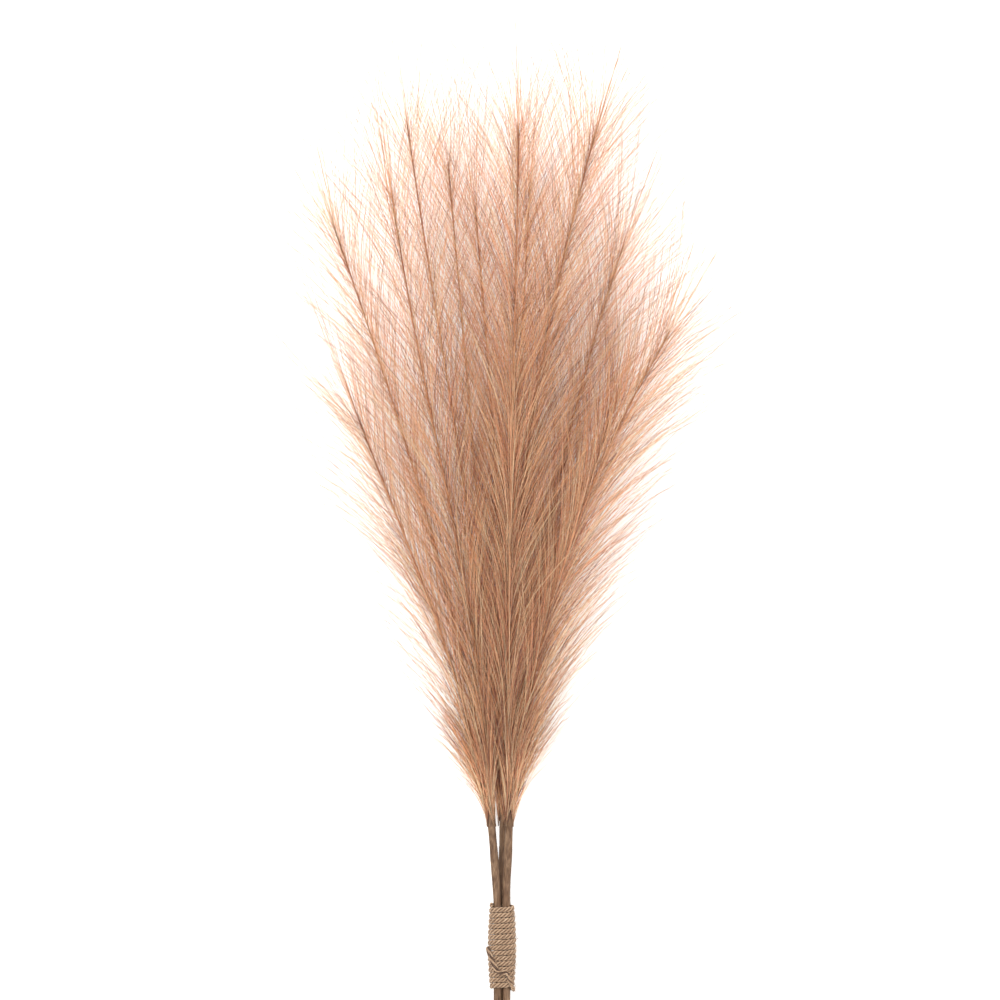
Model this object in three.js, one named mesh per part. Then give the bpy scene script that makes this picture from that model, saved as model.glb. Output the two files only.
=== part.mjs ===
// A bundle of dried pampas grass that lies on a flat surface: three cut stems bound side by side with
// jute twine, each forking at its top into four plumes.
// Millimetres, +Z up, +Y from the cut ends to the tips, origin at the centre of the bounding box's base.
// Until the last lines, y is measured from the cut ends, x from the middle of the binding and z from the
// surface that the bundle lies on.
import * as THREE from 'three';

// Pieces that touch keep this much air between them
const GAP = 0.3;

// Stems
const STEM_RADIUS = 3.1;
const STEM_LENGTH = 150;
const STEM_SIDES = 10;
// The top of a stem narrows to this radius, so that its four stalks can nestle around it
const FORK_RADIUS = 1.6;
const FORK_LENGTH = 26;
// Above the binding the stems open out along a power curve
const STEM_OPENING = 1.2;

// Twine: a flattened jute cord wound round all three stems
const TWINE_HALF_WIDTH = 1.75;
const TWINE_HALF_THICKNESS = 1.2;
const TWINE_TURNS = 15.6;
const TWINE_STEPS = 12;
const TWINE_SIDES = 6;
// Air between one turn and the next
const TURN_GAP = 0.4;
// The first turn's height above the cut ends, and how far the middle of the binding swells
const BINDING_START = 20;
const BINDING_SWELL = 1.4;
// The cord's loose end crosses back over this many turns and this much of a circle, and rises onto them
// over the first share of its way
const TAIL_TURNS = 8;
const TAIL_SWEEP = THREE.MathUtils.degToRad(150);
const TAIL_STEPS = 14;
const TAIL_RISE = 1 / 3;

// Stalks: the wiry middle of each plume
const STALK_RADIUS = 1.0;
const STALK_TIP_RADIUS = 0.6;
const STALK_SIDES = 6;
// How far below the stem's top a stalk begins
const STALK_FOOT = 12;
// A stalk's curve: handle length as a share of its reach, sideways spread at the fork, lowest height
const HANDLE = 0.35;
const SPREAD = 0.08;
const LOWEST_STALK = 6.5;

// Plumes: the soft hair around each stalk
const PLUME_SIDES = 8;
const PLUME_HALF_WIDTH = 54;
const PLUME_HALF_HEIGHT = 44;
// The hair starts this far above the stem's top, and its solids are sliced at this step
const PLUME_START = 14;
const SLICE = 34;
// A stalk's bore runs on this far past its tip
const BORE_SPARE = 1;
// Lengths over which a plume widens above its foot, narrows at its end and outreaches its stalk, and the
// share of its width that is left at the very end
const PLUME_GROWTH = 120;
const PLUME_TAPER = 100;
const PLUME_OVERREACH = 66;
const PLUME_END = 0.1;
// Below 1, a plume widens fastest at its foot
const PLUME_FLARE = 0.75;
// Air between neighbouring plumes, and the least hair left around a stalk's bore
const PLUME_GAP = 0.8;

const STRAW = new THREE.MeshStandardMaterial({ color: '#87674a', roughness: 0.8, metalness: 0 });
const STALK = new THREE.MeshStandardMaterial({ color: '#a87e62', roughness: 0.7, metalness: 0 });
const HAIR = new THREE.MeshStandardMaterial({ color: '#c79c7f', roughness: 0.9, metalness: 0 });
const JUTE = new THREE.MeshStandardMaterial({ color: '#b0917a', roughness: 0.95, metalness: 0 });

// Three stems packed in a triangle, one below and two above, on the lowest turn of the twine
const STEM_PITCH = 2 * STEM_RADIUS + GAP;
const TWINE_PITCH = 2 * TWINE_HALF_WIDTH + TURN_GAP;
const BINDING_LENGTH = TWINE_TURNS * TWINE_PITCH;
const BINDING_TOP = BINDING_START + BINDING_LENGTH;
const CHORD_SLACK = (STEM_RADIUS + TWINE_HALF_THICKNESS) * (1 - Math.cos(Math.PI / TWINE_STEPS));
const WRAP_OFFSET = STEM_RADIUS + GAP + CHORD_SLACK + TWINE_HALF_THICKNESS;
const LOW_STEM = WRAP_OFFSET + TWINE_HALF_THICKNESS + BINDING_SWELL;
const HIGH_STEM = LOW_STEM + STEM_PITCH * Math.sin(Math.PI / 3);

// Where each stem is at the binding, and where its top is, as [x, z]
const STEMS = {
  left: { bound: [-STEM_PITCH / 2, HIGH_STEM], top: [-8.6, 19.5] },
  right: { bound: [STEM_PITCH / 2, HIGH_STEM], top: [5.5, 19.5] },
  back: { bound: [0, LOW_STEM], top: [1.2, 9.4] },
};

// Each plume: the stem it grows from, the side of the stem it leaves (degrees, 0 is +X and 90 is up), the
// tip of its stalk as [x, y above the stem's top, z], the way the tip leans (degrees from +Y towards +X)
// and the height that it crowns at
const PLUMES = {
  outer_left: { stem: 'left', side: 150, tip: [-104, 284, 30], lean: -21, crown: 46 },
  low_left: { stem: 'left', side: -120, tip: [-122, 424, 30], lean: -19, crown: 32 },
  upper_left: { stem: 'left', side: 60, tip: [-79, 444, 62], lean: -8, crown: 74 },
  tall_left: { stem: 'left', side: -30, tip: [-68, 494, 54], lean: -8, crown: 56 },
  centre: { stem: 'right', side: 120, tip: [12, 491, 74], lean: 1, crown: 86 },
  tall_right: { stem: 'right', side: -150, tip: [67, 489, 58], lean: 15, crown: 58 },
  mid_right: { stem: 'right', side: -60, tip: [86, 404, 40], lean: 18, crown: 36 },
  outer_right: { stem: 'right', side: 30, tip: [119, 342, 48], lean: 31, crown: 72 },
  back_left: { stem: 'back', side: 180, tip: [-39, 469, 24], lean: -5, crown: 24 },
  back_middle: { stem: 'back', side: 90, tip: [-19, 432, 30], lean: -5, crown: 38 },
  back_centre: { stem: 'back', side: -90, tip: [20, 448, 22], lean: 3, crown: 22 },
  back_right: { stem: 'back', side: 0, tip: [84, 300, 24], lean: 18, crown: 24 },
};

// A closed skin over a run of rings with equal counts, each turning right-handed about the run
function skin(rings) {
  const sides = rings[0].length;
  const last = (rings.length - 1) * sides;
  const index = [];
  for (let ring = 0; ring < last; ring += sides) {
    for (let i = 0; i < sides; i++) {
      const here = ring + i;
      const next = ring + ((i + 1) % sides);
      index.push(here, next, next + sides, here, next + sides, here + sides);
    }
  }
  for (let i = 1; i + 1 < sides; i++) {
    index.push(0, i + 1, i);
    index.push(last, last + i, last + i + 1);
  }
  const geometry = new THREE.BufferGeometry().setFromPoints(rings.flat());
  geometry.setIndex(index);
  geometry.computeVertexNormals();
  return geometry;
}

// A ring across the Y axis; reach gives the distance from its centre in each direction [x, z]
function ringAcross(centre, sides, reach) {
  return Array.from({ length: sides }, (_, i) => {
    const angle = (2 * Math.PI * i) / sides;
    const [x, z] = [Math.sin(angle), Math.cos(angle)];
    const r = reach(x, z);
    return new THREE.Vector3(centre.x + r * x, centre.y, centre.z + r * z);
  });
}

function tipOf(plume) {
  const [x, reach, z] = plume.tip;
  return new THREE.Vector3(x, STEM_LENGTH + reach, z);
}

// Where a plume's hair ends
function endOf(plume) {
  return tipOf(plume).y + PLUME_OVERREACH;
}

function stemRadius(y) {
  const fork = THREE.MathUtils.clamp((y - STEM_LENGTH + FORK_LENGTH) / FORK_LENGTH, 0, 1);
  return THREE.MathUtils.lerp(STEM_RADIUS, FORK_RADIUS, fork);
}

// The middle of a stem: straight through the binding, then opening out to its top
function stemCentre(stem, y) {
  const opening = Math.max(0, (y - BINDING_TOP) / (STEM_LENGTH - BINDING_TOP)) ** STEM_OPENING;
  const x = THREE.MathUtils.lerp(stem.bound[0], stem.top[0], opening);
  const z = THREE.MathUtils.lerp(stem.bound[1], stem.top[1], opening);
  return new THREE.Vector3(x, y, z);
}

function stemGeometry(stem) {
  const opening = STEM_LENGTH - FORK_LENGTH - BINDING_TOP;
  const heights = [0, BINDING_TOP, BINDING_TOP + opening / 2, STEM_LENGTH - FORK_LENGTH];
  heights.push(STEM_LENGTH - STALK_FOOT, STEM_LENGTH);
  return skin(heights.map((y) => ringAcross(stemCentre(stem, y), STEM_SIDES, () => stemRadius(y))));
}

// The direction in which a plume leaves its stem, across the stem
function outward(plume) {
  const side = THREE.MathUtils.degToRad(plume.side);
  return new THREE.Vector3(Math.cos(side), 0, Math.sin(side));
}

// The middle of a stalk where it lies beside its stem
function besideStem(plume, y) {
  const offset = stemRadius(y) + STALK_RADIUS + GAP;
  return stemCentre(STEMS[plume.stem], y).addScaledVector(outward(plume), offset);
}

// The free curve of a stalk from the fork to its tip
function stalkCurve(plume) {
  const stem = STEMS[plume.stem];
  const fork = besideStem(plume, STEM_LENGTH);
  const tip = tipOf(plume);
  const handle = HANDLE * fork.distanceTo(tip);
  const leaving = stemCentre(stem, STEM_LENGTH).sub(stemCentre(stem, STEM_LENGTH - 1));
  leaving.addScaledVector(outward(plume), SPREAD);
  const lean = THREE.MathUtils.degToRad(plume.lean);
  const arriving = new THREE.Vector3(Math.sin(lean), Math.cos(lean), 0);
  const first = fork.clone().addScaledVector(leaving, handle);
  first.z = Math.max(first.z, LOWEST_STALK);
  const second = tip.clone().addScaledVector(arriving, -handle);
  second.z = plume.crown;
  return new THREE.CubicBezierCurve3(fork, first, second, tip);
}

// Halvings that bring the search below far under a micrometre
const HALVINGS = 40;

// The point of a curve at height y, which rises all along it; past its end it runs on straight
function pointAt(curve, y) {
  const tip = curve.getPoint(1);
  if (y >= tip.y) {
    const along = curve.getTangent(1);
    return tip.addScaledVector(along, (y - tip.y) / along.y);
  }
  let low = 0;
  let high = 1;
  for (let i = 0; i < HALVINGS; i++) {
    const middle = (low + high) / 2;
    if (curve.getPoint(middle).y < y) low = middle;
    else high = middle;
  }
  return curve.getPoint(low);
}

function stalkRadius(plume, y) {
  const along = THREE.MathUtils.clamp((y - STEM_LENGTH) / plume.tip[1], 0, 1);
  return THREE.MathUtils.lerp(STALK_RADIUS, STALK_TIP_RADIUS, along);
}

// Every plume is sliced at the same heights, so that neighbours share the borders between them
function slicesUpTo(top) {
  const slices = [];
  for (let y = STEM_LENGTH + PLUME_START; y < top; y += SLICE) slices.push(y);
  return slices;
}

function stalkGeometry(plume) {
  const foot = STEM_LENGTH - STALK_FOOT;
  const tip = tipOf(plume).y;
  const free = [...slicesUpTo(tip), tip];
  const centres = [besideStem(plume, foot), besideStem(plume, STEM_LENGTH)];
  centres.push(...free.map((y) => pointAt(plume.curve, y)));
  return skin(centres.map((c) => ringAcross(c, STALK_SIDES, () => stalkRadius(plume, c.y))));
}

// How full a plume is at height y: 1 along its middle, less at its foot, and least at its end
function fullness(plume, y) {
  const grown = (y - STEM_LENGTH) / PLUME_GROWTH;
  const left = (endOf(plume) - y) / PLUME_TAPER;
  return Math.min(1, grown ** PLUME_FLARE) * Math.max(PLUME_END, Math.sqrt(Math.min(1, left)));
}

// From one plume's stalk across to another's at height y
function across(plume, other, y) {
  return pointAt(other.curve, y).sub(pointAt(plume.curve, y));
}

// The hair's reach from its stalk in direction [x, z]: its own full shape, cut back to the surface below
// and to the border with each neighbour. A border passes midway between the two stalks, and keeps one
// direction from each slice to the next, so that both sides of it stay clear of it between the slices.
function hairReach(plume, y, x, z) {
  const full = fullness(plume, y);
  let reach = full / Math.hypot(x / PLUME_HALF_WIDTH, z / PLUME_HALF_HEIGHT);
  if (z < 0) reach = Math.min(reach, pointAt(plume.curve, y).z / -z);
  for (const other of Object.values(PLUMES)) {
    if (other === plume || y > endOf(other) + SLICE) continue;
    const halfway = across(plume, other, y).divideScalar(2);
    for (const slab of [y - SLICE / 2, y + SLICE / 2]) {
      const normal = across(plume, other, slab).normalize();
      const facing = normal.x * x + normal.z * z;
      if (facing > 0) reach = Math.min(reach, (halfway.dot(normal) - PLUME_GAP / 2) / facing);
    }
  }
  return reach;
}

// A plume's hair, with a blind bore from its foot that its stalk fills
function hairGeometry(plume) {
  const tip = tipOf(plume).y;
  const bore = (y) => (stalkRadius(plume, y) + GAP) / Math.cos(Math.PI / PLUME_SIDES);
  const boreRing = (y) => ringAcross(pointAt(plume.curve, y), PLUME_SIDES, () => bore(y));
  const hairRing = (y) =>
    ringAcross(pointAt(plume.curve, y), PLUME_SIDES, (x, z) => hairReach(plume, y, x, z));
  const inside = [...slicesUpTo(tip), tip + BORE_SPARE].map(boreRing);
  const end = endOf(plume);
  const outside = [...slicesUpTo(end), end].map(hairRing);
  return skin([...inside.reverse(), ...outside]);
}

// Of two stems that stand out equally far, the first one counts
const TIE = 1e-9;

// The twine's centre where it lies in direction angle round the stems, lifted off them by lift
function wrapPoint(angle, y, lift) {
  const out = new THREE.Vector3(Math.cos(angle), 0, Math.sin(angle));
  const centres = Object.values(STEMS).map((stem) => stemCentre(stem, 0));
  const outermost = centres.reduce((a, b) => (b.dot(out) > a.dot(out) + TIE ? b : a));
  const swell = BINDING_SWELL * Math.sin((Math.PI * (y - BINDING_START)) / BINDING_LENGTH);
  const point = outermost.clone().addScaledVector(out, WRAP_OFFSET + Math.max(0, swell) + lift);
  return { out, point: point.setY(y) };
}

// The twine's route: turns from the top of the binding down, then its end back up over them
function twineRoute() {
  const step = (2 * Math.PI) / TWINE_STEPS;
  const turning = Math.round(TWINE_TURNS * TWINE_STEPS);
  const route = [];
  for (let i = 0; i <= turning; i++) {
    route.push(wrapPoint((i - turning) * step, BINDING_TOP - (i / TWINE_STEPS) * TWINE_PITCH, 0));
  }
  const overTurn = 2 * TWINE_HALF_THICKNESS + GAP + CHORD_SLACK;
  for (let i = 1; i <= TAIL_STEPS; i++) {
    const along = i / TAIL_STEPS;
    const lift = overTurn * Math.min(1, along / TAIL_RISE);
    const climbed = Math.max(0, (along - TAIL_RISE) / (1 - TAIL_RISE));
    const climb = TAIL_TURNS * TWINE_PITCH * climbed;
    route.push(wrapPoint(along * TAIL_SWEEP, BINDING_START + climb, lift));
  }
  return route;
}

function twineGeometry() {
  const route = twineRoute();
  const rings = route.map(({ out, point }, i) => {
    const before = route[Math.max(0, i - 1)].point;
    const after = route[Math.min(route.length - 1, i + 1)].point;
    const along = after.clone().sub(before).normalize();
    const across = along.clone().cross(out).normalize();
    const thick = across.clone().cross(along);
    return Array.from({ length: TWINE_SIDES }, (_, k) => {
      const angle = (2 * Math.PI * k) / TWINE_SIDES;
      const ring = point.clone().addScaledVector(thick, TWINE_HALF_THICKNESS * Math.cos(angle));
      return ring.addScaledVector(across, TWINE_HALF_WIDTH * Math.sin(angle));
    });
  });
  return skin(rings);
}

const bundle = new THREE.Group();

function add(name, geometry, material) {
  const mesh = new THREE.Mesh(geometry, material);
  mesh.name = name;
  bundle.add(mesh);
}

for (const [name, stem] of Object.entries(STEMS)) add(`stem_${name}`, stemGeometry(stem), STRAW);
for (const plume of Object.values(PLUMES)) plume.curve = stalkCurve(plume);
for (const [name, plume] of Object.entries(PLUMES)) {
  add(`stalk_${name}`, stalkGeometry(plume), STALK);
  add(`plume_${name}`, hairGeometry(plume), HAIR);
}
add('binding_twine', twineGeometry(), JUTE);

// Put the origin at the centre of the bounding box's base
const box = new THREE.Box3().setFromObject(bundle);
const middle = box.getCenter(new THREE.Vector3());
bundle.position.set(-middle.x, -middle.y, -box.min.z);

export default bundle;
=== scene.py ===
# %% [markdown]
# # A bundle of dried pampas grass
#
# The bundle is three brown stems tied side by side with jute twine. Each stem forks into four thin
# stalks, and each stalk carries a plume of soft hair. It has no vase, so it lies on a flat surface.
# The model is in metres, +Y runs from the cut ends to the tips and +Z is up from the surface.
#
# A solid model of the bundle was made first. It says where each piece is, so this lesson starts by
# loading it as a frame, and then gives each plain solid the look of the real thing.

import bpy
import numpy as np
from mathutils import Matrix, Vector


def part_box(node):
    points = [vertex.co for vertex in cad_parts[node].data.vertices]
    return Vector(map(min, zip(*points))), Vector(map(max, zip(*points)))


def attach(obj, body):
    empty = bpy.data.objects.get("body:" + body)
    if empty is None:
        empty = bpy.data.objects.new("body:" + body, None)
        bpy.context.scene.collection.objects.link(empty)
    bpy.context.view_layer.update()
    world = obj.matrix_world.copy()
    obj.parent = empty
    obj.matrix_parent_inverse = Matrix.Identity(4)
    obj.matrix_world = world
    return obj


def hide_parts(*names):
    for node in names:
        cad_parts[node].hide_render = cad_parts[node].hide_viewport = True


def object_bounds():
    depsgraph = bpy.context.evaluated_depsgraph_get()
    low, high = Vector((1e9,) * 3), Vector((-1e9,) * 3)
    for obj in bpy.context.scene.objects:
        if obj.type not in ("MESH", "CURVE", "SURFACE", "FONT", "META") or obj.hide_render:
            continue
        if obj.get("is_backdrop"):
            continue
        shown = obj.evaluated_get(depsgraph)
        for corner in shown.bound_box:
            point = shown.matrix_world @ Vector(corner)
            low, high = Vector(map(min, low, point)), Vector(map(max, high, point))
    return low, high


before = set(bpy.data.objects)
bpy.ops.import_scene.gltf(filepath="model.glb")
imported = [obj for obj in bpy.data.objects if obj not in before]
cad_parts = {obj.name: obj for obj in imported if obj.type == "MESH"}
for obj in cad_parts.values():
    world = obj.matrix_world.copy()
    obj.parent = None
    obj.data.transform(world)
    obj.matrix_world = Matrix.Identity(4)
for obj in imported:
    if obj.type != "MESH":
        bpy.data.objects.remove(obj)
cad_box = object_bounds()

MM = 0.001
print("frame nodes:", len(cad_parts))
print("size in mm:", [round(1000 * (high - low)) for low, high in zip(*cad_box)])

# %% [markdown]
# ## Reading a tube from the frame
#
# Every stem and stalk in the frame is a run of rings, each ring lying across the Y axis. The middle of
# a tube at any height is the mean of that ring's corners, and its radius is their distance from it. The
# same piece can then be made again with as much detail as we like, exactly where the frame has it.


# %% Tube lines of the frame's nodes
def tube_line(node):
    """A tube's rings from its foot to its tip, as rows of x, y, z and radius."""
    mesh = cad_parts[node].data
    corners = np.empty(3 * len(mesh.vertices))
    mesh.vertices.foreach_get("co", corners)
    corners = np.unique(corners.reshape(-1, 3).round(6), axis=0)
    heights, ring = np.unique(corners[:, 1].round(5), return_inverse=True)
    count = np.bincount(ring)[:, None]
    sums = np.zeros((len(heights), 3))
    np.add.at(sums, ring, corners)
    squares = np.bincount(ring, ((corners - (sums / count)[ring]) ** 2).sum(axis=1))
    return np.concatenate([sums / count, np.sqrt(squares[:, None] / count)], axis=1)


def smooth_line(rings, count):
    """Points evenly spaced in y on a line: a cubic between rings, with the mean slopes at them."""
    heights = np.linspace(rings[0, 1], rings[-1, 1], count)
    slopes = np.gradient(rings, rings[:, 1], axis=0)
    k = np.clip(np.searchsorted(rings[:, 1], heights, side="right") - 1, 0, len(rings) - 2)
    step = (rings[k + 1, 1] - rings[k, 1])[:, None]
    t = (heights[:, None] - rings[k, 1][:, None]) / step
    first = (1 + 2 * t) * (1 - t) ** 2 * rings[k] + t * (1 - t) ** 2 * step * slopes[k]
    second = t**2 * (3 - 2 * t) * rings[k + 1] + t**2 * (t - 1) * step * slopes[k + 1]
    return first + second


STEMS = ("left", "right", "back")
PLUMES = tuple(name.removeprefix("plume_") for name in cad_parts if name.startswith("plume_"))
STALK_RINGS = 160
UPWARDS = np.array([0.0, 0.0, 1.0])
stem_rings = {name: tube_line(f"stem_{name}") for name in STEMS}
stalk_lines = {name: smooth_line(tube_line(f"stalk_{name}"), STALK_RINGS) for name in PLUMES}
foot_y = stem_rings["back"][0, 1]
fork_y = stem_rings["back"][-1, 1]
bound_x = (stem_rings["left"][0, 0] + stem_rings["right"][0, 0]) / 2
print("plumes:", PLUMES)
print("stems are", round(1000 * (fork_y - foot_y)), "mm long")

# %% [markdown]
# ## The camera
#
# The bundle lies down, so the camera looks straight down on it, with the tips at the top of the view.
# A short lens close by would make the plumes nearest to it too big, so this is a long lens from far
# away. The view's lower edge passes just above the cut ends of the stems.

# %% Place the camera
# The lens is in millimetres, as cameras have it
LENS = 200.0
VIEW_WIDTH = 720 * MM
# The middle of the view, across from the stems and up from their cut ends
VIEW_CENTRE = (-1.4 * MM, 374.4 * MM)
# The view is this wide at this height above the surface
VIEW_LEVEL = 40 * MM

camera_data = bpy.data.cameras.new("camera")
camera_data.lens = LENS
camera = bpy.data.objects.new("camera", camera_data)
distance = VIEW_WIDTH * LENS / camera_data.sensor_width
camera.location = (bound_x + VIEW_CENTRE[0], foot_y + VIEW_CENTRE[1], VIEW_LEVEL + distance)
bpy.context.scene.collection.objects.link(camera)
bpy.context.scene.camera = camera
print("camera distance in m:", round(distance, 2))

# %% [markdown]
# ## Putting arrays into meshes
#
# Each surface here is worked out as whole numpy arrays. Lists of vertices and faces would do for a few
# thousand faces, but a plume has tens of thousands. One helper turns arrays into a mesh: it takes the
# vertices, arrays of faces with three, four or more corners, and a UV for each corner of a face.


# %% Mesh and vector helpers
def unit(vectors):
    """Each vector divided by its own length."""
    return vectors / np.linalg.norm(vectors, axis=-1, keepdims=True)


def put_piece(name, vertices, faces, uv, material, replaces=None):
    """A new piece with its vertices in the frame's own coordinates, riding on the one rigid body."""
    mesh = bpy.data.meshes.new(name)
    corners = np.concatenate([f.ravel() for f in faces])
    sizes = np.concatenate([np.full(len(f), f.shape[1]) for f in faces])
    mesh.vertices.add(len(vertices))
    mesh.vertices.foreach_set("co", vertices.ravel())
    mesh.loops.add(len(corners))
    mesh.loops.foreach_set("vertex_index", corners)
    mesh.polygons.add(len(sizes))
    mesh.polygons.foreach_set("loop_start", np.cumsum(sizes) - sizes)
    mesh.polygons.foreach_set("use_smooth", np.ones(len(sizes), bool))
    layer = mesh.uv_layers.new(name="strand")
    layer.uv.foreach_set("vector", uv.ravel())
    mesh.update()
    mesh.materials.append(material)
    piece = bpy.data.objects.new(name, mesh)
    bpy.context.scene.collection.objects.link(piece)
    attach(piece, "root")
    if replaces:
        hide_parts(replaces)
    triangles = int((sizes - 2).sum())
    print(f"{name}: {triangles} triangles")
    return piece


def tube_faces(rings, sides):
    """Faces of a closed tube whose vertices run ring by ring: quads between rings, and two end caps."""
    ring, side = np.meshgrid(np.arange(rings - 1), np.arange(sides), indexing="ij")
    here = (ring * sides + side).ravel()
    after = (ring * sides + (side + 1) % sides).ravel()
    quads = np.stack([here, after, after + sides, here + sides], axis=1)
    first = np.arange(sides)[None, ::-1]
    return [quads, np.concatenate([first, first[:, ::-1] + (rings - 1) * sides])]


def tube_uv(share, sides):
    """The UV of each corner of tube_faces: u is each ring's share, and v runs from 0 to 1 round it."""
    ring, side = np.meshgrid(np.arange(len(share) - 1), np.arange(sides), indexing="ij")
    u = share[np.stack([ring, ring, ring + 1, ring + 1], axis=-1)]
    v = np.stack([side, side + 1, side + 1, side], axis=-1) / sides
    caps = np.stack([np.repeat(share[[0, -1]], sides), np.zeros(2 * sides)], axis=1)
    return np.concatenate([np.stack([u, v], axis=-1).reshape(-1, 2), caps])


def square_frame(path, reference):
    """Two directions square to a path: side = along x reference, and up = side x along."""
    along = unit(np.gradient(path, axis=0))
    side = unit(np.cross(along, reference))
    return along, side, np.cross(side, along)


def around(middle, side, up, radii):
    """Rings of a tube that faces outwards: middle + radius * (cos a * side - sin a * up)."""
    sides = radii.shape[1]
    angle = 2 * np.pi * np.arange(sides) / sides
    ring = np.cos(angle)[:, None] * side[:, None] - np.sin(angle)[:, None] * up[:, None]
    return (middle[:, None] + radii[..., None] * ring).reshape(-1, 3)


# %% [markdown]
# ## Colours and shader nodes
#
# Colours are written as sRGB hex, the way a paint chart gives them, and turned to linear light by one
# function. A second small function adds a shader node with its settings and its links. Materials could
# be put together by hand in the shader editor, but written down they are easy to change and compare.


# %% Shader helpers
def linear(hex_colour, alpha=1.0):
    """sRGB hex to linear light: c/12.92 below 0.04045, else ((c + 0.055)/1.055) to the power 2.4."""
    channels = np.array([int(hex_colour[i : i + 2], 16) / 255 for i in (1, 3, 5)])
    light = np.where(channels <= 0.04045, channels / 12.92, ((channels + 0.055) / 1.055) ** 2.4)
    return (*light.tolist(), alpha)


def add(material, kind, settings=None, stops=(), **links):
    """Adds a node, sets its properties or input values and a ramp's stops, and links its inputs. A link
    is named for its input, or i and its number."""
    node = material.node_tree.nodes.new(f"ShaderNode{kind}")
    for key, value in (settings or {}).items():
        if isinstance(key, str) and hasattr(node, key):
            setattr(node, key, value)
        else:
            node.inputs[key].default_value = value
    for index, (place, hex_colour) in enumerate(stops):
        elements = node.color_ramp.elements
        element = elements[index] if index < 2 else elements.new(place)
        element.position = place
        element.color = linear(hex_colour)
    for key, output in links.items():
        socket = node.inputs[int(key[1:]) if key[1:].isdigit() else key.replace("_", " ")]
        material.node_tree.links.new(output, socket)
    return node


def new_material(name, roughness, ior, sheen=0.0):
    """A material with its Principled shader set, returned with that shader."""
    material = bpy.data.materials.new(name)
    material.use_nodes = True
    shader = material.node_tree.nodes["Principled BSDF"]
    shader.inputs["Roughness"].default_value = roughness
    shader.inputs["IOR"].default_value = ior
    shader.inputs["Sheen Weight"].default_value = sheen
    return material, shader


# A Mix node with these settings multiplies two colours, its inputs 6 and 7, into its output 2
MULTIPLY = {"data_type": "RGBA", "blend_type": "MULTIPLY", 0: 1.0}
print("mid grey as linear light:", [round(channel, 3) for channel in linear("#808080")])

# %% [markdown]
# ## Plume hair
#
# The hair is bleached and dyed plant fibre: matt, a little silky along its length, and never one
# colour. Some hairs are pinker and some more straw-coloured. Each hair has painted shade at its root,
# where the hairs crowd round the stalk and shade each other, is palest a little way up, and is darker
# towards its tip. A colour for each hair could be a random value in the shader, but then it couldn't
# follow how the hair lies. So each hair carries a UV: u runs from its root to its tip, and v is its own
# place on a pink-to-straw scale, lower as painted shade for hairs pressed into the bundle. Two ramps
# turn those into colour.


# %% Hair material
def make_hair():
    """Dyed grass hair: a matt fibre with a faint silky sheen, tinted by v, with painted shade at the
    root and a darker tip by u.
    """
    material, shader = new_material("dyed_grass_hair", roughness=0.6, ior=1.5, sheen=0.15)
    strand = add(material, "UVMap", {"uv_map": "strand"})
    part = add(material, "SeparateXYZ", i0=strand.outputs["UV"])
    pink_to_straw = ((0.0, "#8a4b32"), (0.28, "#f2a77e"), (0.62, "#ffc58e"), (1.0, "#ffe6bc"))
    # Painted shade at the root, where hairs crowd round the stalk; white from 0.12 up, then darker
    # towards the tip
    painted_root_shade_to_dark_tip = ((0.0, "#b08f7c"), (0.12, "#ffffff"), (0.6, "#ecdfd4"), (1.0, "#94806f"))
    tint = add(material, "ValToRGB", stops=pink_to_straw, i0=part.outputs["Y"])
    # depth carries the painted root shade and the darker tip, by u
    depth = add(material, "ValToRGB", stops=painted_root_shade_to_dark_tip, i0=part.outputs["X"])
    colour = add(material, "Mix", MULTIPLY, i6=tint.outputs[0], i7=depth.outputs[0])
    material.node_tree.links.new(colour.outputs[2], shader.inputs["Base Color"])
    return material


hair = make_hair()
print("hair material:", hair.name)

# %% [markdown]
# ## Room for the hair
#
# Where the plumes crowd together near the fork, hairs that point into the bundle are pressed against
# their stalk, and hairs that point out of it are free, longer and fewer. A physics run could press them,
# but it is enough to know, for each hair, how far up the bundle it is and how much it points outwards.


# %% The middle and the reach of the bundle at each height
# How much of its lean a hair loses where it is pressed hardest
CROWDING = 0.75
LEVELS = 60
levels = np.linspace(fork_y, max(line[-1, 1] for line in stalk_lines.values()), LEVELS)


def crossing(line):
    """Where a stalk crosses each level: a row of x and a row of z."""
    return [np.interp(levels, line[:, 1], line[:, axis]) for axis in (0, 2)]


crossings = np.array([crossing(line) for line in stalk_lines.values()])
bundle_middle = crossings.mean(axis=0)
bundle_reach = np.linalg.norm(crossings - bundle_middle, axis=1).max(axis=0)


def surroundings(root, outward):
    """How far up the bundle a hair's root is, and how much the hair points out of it, each 0 to 1."""
    height = root[:, 1]
    middle = np.stack([np.interp(height, levels, row) for row in bundle_middle], axis=1)
    offset = root[:, [0, 2]] - middle
    facing = (outward[:, [0, 2]] * offset).sum(axis=1) / np.interp(height, levels, bundle_reach)
    risen = np.clip((height - levels[0]) / (levels[-1] - levels[0]), 0, 1)
    return risen, np.clip(0.5 + 0.5 * facing, 0, 1)


print("reach of the stalks in mm:", round(1000 * bundle_reach[0]), "to", round(1000 * bundle_reach[-1]))

# %% [markdown]
# ## How a plume grows
#
# Hairs leave the stalk all round it and all along it, like a bottle brush that has been stroked towards
# its tip. A hair sets off almost along the stalk and bends outwards over its length. Particle hair would
# be quicker to set up, but real geometry keeps its shape anywhere, so each hair is a closed needle with
# three sides, and a few thousand needles are worked out in one array.
#
# A plume has three kinds of hair: those all along the stalk, a few that stand round the stalk's end as
# its crown, and a tuft of short ones at its foot.

# %% Sizes of the hairs
HAIR_RADIUS = 0.105 * MM
RADIUS_SPREAD = 0.32
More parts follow.
